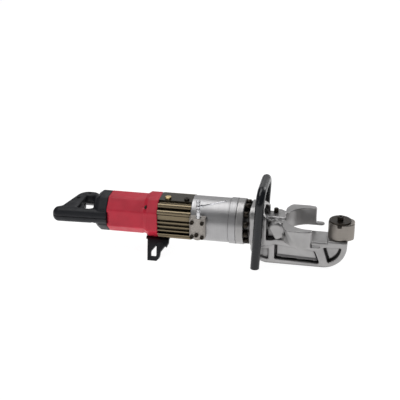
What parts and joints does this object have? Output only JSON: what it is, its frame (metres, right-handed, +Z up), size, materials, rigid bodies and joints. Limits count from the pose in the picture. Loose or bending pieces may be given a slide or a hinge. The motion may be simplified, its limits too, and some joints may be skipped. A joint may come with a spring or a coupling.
{
  "type": "rebar bender",
  "caption": "Portable hydraulic rebar bender: motor with a D-handle, ribbed pump, cylinder, hook-shaped frame with a former, U-shaped fork die on a ram, loop handle and stand.",
  "frame": {"origin": "on the ground, under the middle of the tool's box", "axes": "+X along the tool axis towards the bending head, +Z up"},
  "size_m": [0.6524, 0.14, 0.179],
  "materials": {
    "red_paint": "satin red moulded nylon housing with a fine leather grain",
    "black_plastic": "matte black glass-filled nylon",
    "black_steel": "glossy black enamelled steel bar",
    "cast_steel": "satin silver-grey finish on forged steel",
    "machined_steel": "turned steel with circumferential marks",
    "former_steel": "hardened ground steel, slightly bronze",
    "bronze_dark": "dark bronze anodised extrusion",
    "cover_black": "near-black anodised plate",
    "valve_steel": "milled steel block",
    "chrome": "bright chrome plate",
    "black_oxide": "black oxide screws",
    "brass": "machined brass",
    "bronze": "sintered bronze bush",
    "rubber": "black rubber seal",
    "spring_steel": "oiled spring steel",
    "motor_steel": "laminated electrical steel",
    "copper": "copper winding and bars",
    "aluminium": "die-cast aluminium",
    "carbon": "carbon brush"
  },
  "bodies": {
    "tool_body": {"bender_frame": "cast_steel", "former_roller": "former_steel", "former_post": "machined_steel", "former_cap": "black_oxide", "former_screw": "black_oxide", "former_key": "black_oxide", "gland_bush": "bronze", "rod_wiper": "rubber", "return_spring": "spring_steel", "cylinder_body": "machined_steel", "flange_bolts": "black_oxide", "flange_washers": "black_oxide", "loop_handle": "black_steel", "handle_studs": "machined_steel", "handle_spacers": "machined_steel", "valve_block": "valve_steel", "valve_block_screws": "black_oxide", "valve_stem": "chrome", "pump_housing": "bronze_dark", "reservoir_cover": "cover_black", "filler_plug": "brass", "bleed_screw": "black_oxide", "pump_body": "aluminium", "pump_pistons": "machined_steel", "shaft_bushes": "bronze", "gear_plate": "aluminium", "motor_bearings": "machined_steel", "stator_core": "motor_steel", "field_coils": "copper", "brush_plate": "black_plastic", "brush_holders": "brass", "carbon_brushes": "carbon", "motor_housing": "red_paint", "housing_screws": "black_oxide", "handle_upper_shell": "black_plastic", "handle_lower_shell": "black_plastic", "handle_screws": "black_oxide", "switch_module": "black_plastic", "cable_gland": "rubber", "stand_foot": "black_plastic", "stand_screws": "black_oxide"},
    "ram_group": {"ram": "machined_steel", "piston": "machined_steel", "piston_seal": "rubber", "fork_die": "cast_steel", "fork_lock_screw": "black_oxide"},
    "release_valve": {"release_spindle": "chrome", "release_lever": "chrome", "lever_tip_cap": "chrome"},
    "armature": {"armature_shaft": "machined_steel", "armature_core": "motor_steel", "commutator": "copper", "cooling_fan": "black_plastic", "motor_pinion": "machined_steel"},
    "pump_drive": {"eccentric_shaft": "machined_steel", "eccentric_bearing": "machined_steel", "drive_gear": "machined_steel"},
    "trigger": {"trigger": "black_plastic"},
    "lock_button": {"lock_button": "black_plastic"}
  },
  "joints": [
    {"name": "ram_slide", "type": "slide", "parent": "tool_body", "child": "ram_group", "axis": [1, 0, 0], "range_m": [0, 0.06], "stiffness_N_per_m": 1500, "springref_m": -0.02, "deforming": ["return_spring"]},
    {"name": "release_turn", "type": "hinge", "parent": "tool_body", "child": "release_valve", "pos_m": [0.00025, -0.053, 0.126], "axis": [0, 0, 1], "range_deg": [-30, 45]},
    {"name": "armature_spin", "type": "hinge", "parent": "tool_body", "child": "armature", "pos_m": [-0.15525, 0, 0.081], "axis": [1, 0, 0], "continuous": true},
    {"name": "pump_spin", "type": "hinge", "parent": "tool_body", "child": "pump_drive", "pos_m": [-0.07025, 0, 0.063], "axis": [1, 0, 0], "continuous": true},
    {"name": "trigger_press", "type": "slide", "parent": "tool_body", "child": "trigger", "axis": [-1, 0, 0], "range_m": [0, 0.006], "stiffness_N_per_m": 1200, "springref_m": -0.004},
    {"name": "lock_press", "type": "slide", "parent": "tool_body", "child": "lock_button", "axis": [0, -1, 0], "range_m": [0, 0.0025], "stiffness_N_per_m": 900, "springref_m": -0.002}
  ],
  "couplings": [
    {"joint": "pump_spin", "follows": "armature_spin", "ratio": -0.33333}
  ]
}
